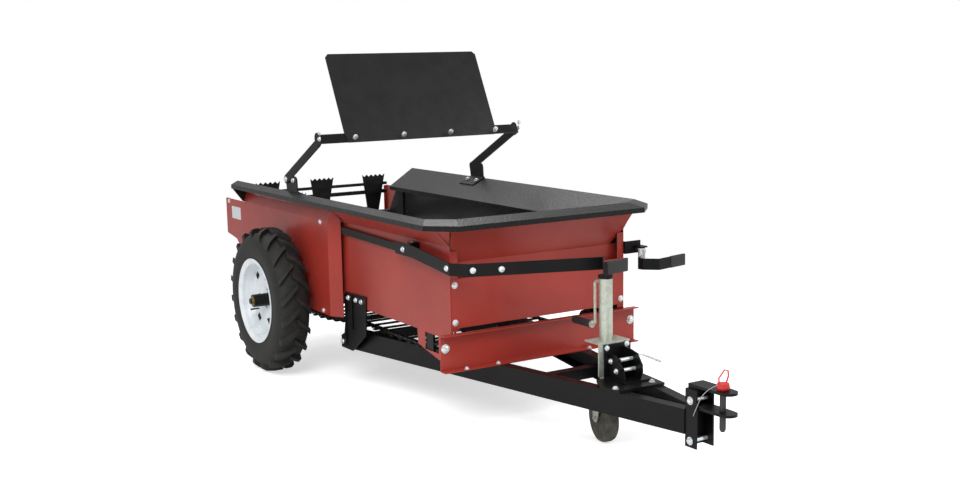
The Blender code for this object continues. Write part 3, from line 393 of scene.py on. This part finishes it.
caster_rubber, tree, shader = new_material("grey_caster_rubber")
coords = add(tree, "ShaderNodeTexCoord").outputs["Object"]
scuff = add(tree, "ShaderNodeTexNoise", {"Vector": coords, "Scale": 40.0, "Detail": 6.0}).outputs["Fac"]
tree.links.new(shades(tree, scuff, (0.3, "35352F"), (0.7, "5A594F")), shader.inputs["Base Color"])
shader.inputs["Roughness"].default_value = 0.8
paint_nodes(caster_rubber, "caster_wheel")

# ---- Road wheels ---------------------------------------------------------------------------------
# White enamelled farm rims and bias-ply tyres.
tyre_rubber, tree, shader = new_material("tyre_rubber")
coords = add(tree, "ShaderNodeTexCoord").outputs["Object"]
scuff = add(tree, "ShaderNodeTexNoise", {"Vector": coords, "Scale": 26.0, "Detail": 7.0}).outputs["Fac"]
tree.links.new(shades(tree, scuff, (0.3, "0F0F0E"), (0.7, "201F1D")), shader.inputs["Base Color"])
tree.links.new(to_range(tree, scuff, 0.62, 0.85), shader.inputs["Roughness"])
bump = add(tree, "ShaderNodeBump", {"Height": scuff, "Strength": 0.15, "Distance": 0.002})
tree.links.new(bump.outputs[0], shader.inputs["Normal"])
white_enamel, tree, shader = new_material("white_wheel_enamel")
coords = add(tree, "ShaderNodeTexCoord").outputs["Object"]
cloud = add(tree, "ShaderNodeTexNoise", {"Vector": coords, "Scale": 12.0, "Detail": 5.0}).outputs["Fac"]
tree.links.new(shades(tree, cloud, (0.3, "D2D8DC"), (0.7, "E4E9EC")), shader.inputs["Base Color"])
tree.links.new(to_range(tree, cloud, 0.22, 0.36), shader.inputs["Roughness"])
for label, _ in SIDES:
    paint_nodes(white_enamel, f"wheel_rim_{label}")

AXLE_Y, AXLE_Z = 0.8707, 0.351
LUGS = 20                                                    # bars on each side of the tread
tread_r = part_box("tyre_left")[1].z - AXLE_Z - 0.0005
tread_mid = (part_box("tyre_left")[0].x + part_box("tyre_left")[1].x) / 2


def on_wheel(x, radius, angle):
    """A point on a wheel; the angle is measured from its front, upwards."""
    return Vector((x, AXLE_Y - radius * math.cos(angle), AXLE_Z + radius * math.sin(angle)))


def chevron_bar(bm, sign, side, angle):
    """One bar of the tread, from just past its middle to the shoulder, bowed and tapering outwards."""
    rings = []
    stations = ((-0.006, 0.0, 1.0, 0.318, 0.0100), (0.024, 0.075, 1.0, 0.316, 0.0105),
                (0.052, 0.150, 0.990, 0.306, 0.0115), (0.071, 0.205, 0.955, 0.292, 0.0135))
    for reach, lag, top, low, half in stations:   # across, angle behind, top's share, root, half width
        x = sign * tread_mid + side * reach
        high = tread_r * top
        ring = [on_wheel(x, low, angle - lag + t / low) for t in (-half - 0.004, half + 0.004)]
        ring += [on_wheel(x, high, angle - lag + t / high) for t in (half, -half)]
        rings.append([bm.verts.new(p) for p in ring])
    for here, there in zip(rings, rings[1:]):
        for i in range(4):
            j = (i + 1) % 4
            bm.faces.new((here[i], here[j], there[j], there[i]))
    bm.faces.new(rings[0])
    bm.faces.new(rings[-1])


for label, sign in SIDES:
    tyre = bmesh.new()
    section = [(0.188, 0.068), (0.212, 0.075), (0.245, 0.081), (0.275, 0.0815), (0.300, 0.076),
               (0.317, 0.062), (0.326, 0.040), (0.3295, 0.0)]
    profile = section + [(r, -x) for r, x in reversed(section[:-1])]
    edge = [tyre.verts.new(on_wheel(sign * tread_mid + x, r, 0.0)) for r, x in profile]
    loop = [tyre.edges.new((edge[i], edge[(i + 1) % len(edge)])) for i in range(len(edge))]
    bmesh.ops.spin(tyre, geom=edge + loop, cent=(0, AXLE_Y, AXLE_Z), axis=(1, 0, 0), angle=math.tau, steps=96,
                   use_merge=True)
    bmesh.ops.remove_doubles(tyre, verts=tyre.verts, dist=1e-5)
    for k in range(LUGS):
        for side, shift in ((-1, 0.0), (1, 0.5)):
            chevron_bar(tyre, sign, side, math.tau * (k + shift) / LUGS)
    piece = finish_mesh(f"lugged_tyre_{label}", tyre, tyre_rubber, f"wheel_{label}", 40)
    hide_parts(f"tyre_{label}")

# Thin black plates on the disc are painted shade standing in for its vent holes. The hub carries a
# brass nut and studs, and a valve, drawn in the same black, leans out.
# Painted shade: flat black for the vent holes, also used for the valve.
vent_shade_and_valve_black, tree, shader = new_material("shadowed_vent")
shader.inputs["Base Color"].default_value = hex_color("060606")
shader.inputs["Roughness"].default_value = 0.9
brass, tree, shader = new_material("yellow_chromate_nut")
shader.inputs["Base Color"].default_value = hex_color("8A7A45")
shader.inputs["Metallic"].default_value = 0.8
shader.inputs["Roughness"].default_value = 0.35
for label, sign in SIDES:
    vent_shade_and_valve, studs, nut = bmesh.new(), bmesh.new(), bmesh.new()
    turn = Matrix.Rotation(math.radians(90), 4, "Y")
    for k in range(4):
        angle = math.radians(45 + 90 * k)
        place = on_wheel(sign * 0.6134, 0.148, angle)
        spin = Matrix.Rotation(-angle, 4, "X")
        size = Matrix.Diagonal((0.002, 0.026, 0.032, 1))
        bmesh.ops.create_cube(vent_shade_and_valve, size=1.0, matrix=Matrix.Translation(place) @ spin @ size)
        place = on_wheel(sign * 0.6098, 0.106, angle + math.radians(48))
        bmesh.ops.create_cone(vent_shade_and_valve, cap_ends=True, segments=3, radius1=0.022, radius2=0.022, depth=0.002,
                              matrix=Matrix.Translation(place) @ Matrix.Rotation(-angle, 4, "X") @ turn)
    for k in range(5):
        bolt(studs, on_wheel(sign * 0.6035, 0.052, math.radians(20 + 72 * k)), (sign, 0, 0), 0.007)
    bolt(nut, (sign * 0.6855, AXLE_Y, AXLE_Z), (sign, 0, 0), 0.0165, 0.010)
    bmesh.ops.create_cone(vent_shade_and_valve, cap_ends=True, segments=10, radius1=0.0045, radius2=0.0035, depth=0.045,
                          matrix=Matrix.Translation(on_wheel(sign * 0.634, 0.125, math.radians(-150)))
                          @ Matrix.Rotation(math.radians(90), 4, "Y"))
    # The vent plates' black is painted shade in the holes, though their kind reads tyre rubber.
    for name, bm, mat, kind in (("wheel_vent_shade_and_valve", vent_shade_and_valve, vent_shade_and_valve_black, "tyre_rubber"),
                                ("wheel_studs", studs, zinc, "zinc"),
                                ("axle_nut", nut, brass, "zinc")):
        finish_mesh(f"{name}_{label}", bm, mat, f"wheel_{label}", 30)

# ---- Hitch pin and its lanyard -------------------------------------------------------------------
# Steel pin with a red dipped grip; a galvanised wire rope keeps it with the machine.
red_dip, tree, shader = new_material("red_dipped_vinyl")
coords = add(tree, "ShaderNodeTexCoord").outputs["Object"]
place = add(tree, "ShaderNodeSeparateXYZ", {"Vector": coords}).outputs["Z"]
steel_below = add(tree, "ShaderNodeMath", {0: place, 1: 0.3668}, operation="LESS_THAN").outputs[0]
tint = add(tree, "ShaderNodeMix", {"Factor": steel_below, 6: hex_color("C32E2E"), 7: hex_color("2A2A28")},
           data_type="RGBA").outputs[2]
tree.links.new(tint, shader.inputs["Base Color"])
shader.inputs["Roughness"].default_value = 0.38
paint_nodes(red_dip, "hitch_pin")

wire_rope, tree, shader = new_material("galvanised_wire_rope")
coords = add(tree, "ShaderNodeTexCoord").outputs["UV"]
lay = add(tree, "ShaderNodeTexWave", {"Vector": coords, "Scale": 60.0, "Distortion": 0.0}).outputs["Fac"]
tree.links.new(shades(tree, lay, (0.2, "8E9490"), (0.8, "D8DCD8")), shader.inputs["Base Color"])
shader.inputs["Roughness"].default_value = 0.35
shader.inputs["Metallic"].default_value = 0.6

# The wire's route leaves the pin's grip, hangs in a shallow bow and ends on the clevis' back plate.
route = [Vector(p) for p in ((-0.0235, -1.698, 0.388), (-0.038, -1.668, 0.366), (-0.046, -1.640, 0.335),
                             (-0.048, -1.622, 0.300), (-0.047, -1.606, 0.272), (-0.0434, -1.596, 0.256))]
line = []
ends = [route[0] * 2 - route[1]] + route + [route[-1] * 2 - route[-2]]
for before, here, there, after in zip(ends, ends[1:], ends[2:], ends[3:]):
    for k in range(6):
        t = k / 6
        line.append(0.5 * (2 * here + (there - before) * t
                           + (2 * before - 5 * here + 4 * there - after) * t ** 2
                           + (3 * here - before - 3 * there + after) * t ** 3))
line.append(route[-1])
rope_curve = bpy.data.curves.new("lanyard_wire", "CURVE")
rope_curve.dimensions = "3D"
rope_curve.bevel_depth = 0.0012
rope_curve.bevel_resolution = 3
rope_curve.use_fill_caps = True
strand = rope_curve.splines.new("POLY")
strand.points.add(len(line) - 1)
for point, place in zip(strand.points, line):
    point.co = (*place, 1)
rope_curve.materials.append(wire_rope)
lanyard = bpy.data.objects.new("lanyard_wire", rope_curve)
scene.collection.objects.link(lanyard)
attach(lanyard, "chassis")
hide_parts("pin_lanyard")

# ---- Grips and label plate -----------------------------------------------------------------------
# Black dipped sleeves on the two levers and the crank, and a blank white plate on each guard.
sleeve, tree, shader = new_material("black_vinyl_grip")
coords = add(tree, "ShaderNodeTexCoord").outputs["Object"]
ribs = add(tree, "ShaderNodeTexWave", {"Vector": coords, "Scale": 60.0}).outputs["Fac"]
shader.inputs["Base Color"].default_value = hex_color("1B1B1B")
shader.inputs["Roughness"].default_value = 0.55
bump = add(tree, "ShaderNodeBump", {"Height": ribs, "Strength": 0.3, "Distance": 0.001})
tree.links.new(bump.outputs[0], shader.inputs["Normal"])


def grip(name, start, end, thick, tall, body):
    """Rounded sleeve over the last stretch of a flat lever."""
    start, end = Vector(start), Vector(end)
    along = (end - start).normalized()
    across = along.cross(Vector((0, 0, 1))).normalized()
    turn = Matrix((along, across, along.cross(across))).transposed().to_4x4()
    bm = bmesh.new()
    size = Matrix.Diagonal(((end - start).length, thick, tall, 1))
    bmesh.ops.create_cube(bm, size=1.0, matrix=Matrix.Translation((start + end) / 2) @ turn @ size)
    bmesh.ops.bevel(bm, geom=bm.edges, offset=0.005, segments=3, profile=0.5, affect="EDGES", material=-1)
    finish_mesh(name, bm, sleeve, body, 50)


grip("lever_grip_right", (0.003, -1.0430, 0.7005), (0.1185, -1.0222, 0.7005), 0.015, 0.053,
     "drive_lever_right")
grip("lever_grip_left", (0.585, -0.7276, 0.6222), (0.6815, -0.7083, 0.6225), 0.014, 0.051, "drive_lever_left")
crank_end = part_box("jack_crank")
crank_grip = bmesh.new()
bmesh.ops.create_cone(crank_grip, cap_ends=True, segments=20, radius1=0.0155, radius2=0.0150, depth=0.115,
                      matrix=Matrix.Translation((0.017, crank_end[1].y - 0.0560, 0.460))
                      @ Matrix.Rotation(math.radians(90), 4, "X"))
bmesh.ops.bevel(crank_grip, geom=crank_grip.edges, offset=0.003, segments=2, profile=0.5, affect="EDGES",
                material=-1)
finish_mesh("crank_grip", crank_grip, sleeve, "chassis", 50)

plate_white, tree, shader = new_material("printed_vinyl_label")
shader.inputs["Base Color"].default_value = hex_color("C9CDD2")
shader.inputs["Roughness"].default_value = 0.45
label_plates = bmesh.new()
for _, sign in SIDES:
    size = Matrix.Diagonal((0.0008, 0.125, 0.065, 1))
    bmesh.ops.create_cube(label_plates, size=1.0,
                          matrix=Matrix.Translation((sign * 0.4903, 1.5495, 0.6995)) @ size)
finish_mesh("label_plates", label_plates, plate_white, "chassis", 30)

# ---- Jack's release handle -----------------------------------------------------------------------
# Bent zinc wire that pulls the swing mount's locking pin.
handle_curve = bpy.data.curves.new("release_handle", "CURVE")
handle_curve.dimensions = "3D"
handle_curve.bevel_depth = 0.0050
handle_curve.bevel_resolution = 3
handle_curve.use_fill_caps = True
bends = handle_curve.splines.new("POLY")
stops = ((0.058, -1.120, 0.3655), (0.094, -1.120, 0.3650), (0.110, -1.120, 0.3635), (0.123, -1.120, 0.3590),
         (0.198, -1.120, 0.3235), (0.208, -1.120, 0.3195))
bends.points.add(len(stops) - 1)
for point, place in zip(bends.points, stops):
    point.co = (*place, 1)
handle_curve.materials.append(zinc)
release_handle = bpy.data.objects.new("release_handle", handle_curve)
scene.collection.objects.link(release_handle)
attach(release_handle, "chassis")

# ---- Apron chain ---------------------------------------------------------------------------------
# Steel detachable chain under the floor: hooked links in two endless strands, joined by slats.
chain = bmesh.new()
LINK_PITCH = 0.0415
sprocket_r = 0.055
front_y, rear_y, run_z = -0.438, 1.332, 0.350
straight = rear_y - front_y
total = 2 * straight + math.tau * sprocket_r
count = round(total / LINK_PITCH)
for k in range(count):
    far = total * k / count
    if far < straight:
        place, heading = (front_y + far, run_z + sprocket_r), 0.0
    elif far < straight + math.pi * sprocket_r:
        turn_by = (far - straight) / sprocket_r
        place = (rear_y + sprocket_r * math.sin(turn_by), run_z + sprocket_r * math.cos(turn_by))
        heading = -turn_by
    elif far < 2 * straight + math.pi * sprocket_r:
        gone = far - straight - math.pi * sprocket_r
        y = rear_y - gone
        slack = max(0.0, (y - 0.420) / (rear_y - 0.420))
        place, heading = (y, run_z - sprocket_r - 0.18 * slack * (1 - slack)), math.pi
    else:
        turn_by = (total - far) / sprocket_r
        place = (front_y - sprocket_r * math.sin(turn_by), run_z + sprocket_r * math.cos(turn_by))
        heading = turn_by
    for _, sign in SIDES:
        at = Matrix.Translation((sign * 0.350, *place)) @ Matrix.Rotation(heading, 4, "X")
        for shift, size in (((-0.0085, 0, 0), (0.0035, 0.036, 0.010)),
                            ((0.0085, 0, 0), (0.0035, 0.036, 0.010)),
                            ((0, 0.0170, 0.002), (0.024, 0.009, 0.013))):
            bmesh.ops.create_cube(chain, size=1.0, matrix=at @ Matrix.Translation(shift)
                                  @ Matrix.Diagonal((*size, 1)))
    if k % 2 == 0:
        at = Matrix.Translation((0, *place)) @ Matrix.Rotation(heading, 4, "X")
        bmesh.ops.create_cube(chain, size=1.0, matrix=at @ Matrix.Translation((0, 0.004, 0.0095))
                              @ Matrix.Diagonal((0.735, 0.022, 0.005, 1)))
        bmesh.ops.create_cube(chain, size=1.0, matrix=at @ Matrix.Translation((0, 0.0135, 0.0070))
                              @ Matrix.Diagonal((0.735, 0.004, 0.0100, 1)))
apron_chain = finish_mesh("apron_chain", chain, dark_steel, "chassis", 30)
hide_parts("apron")
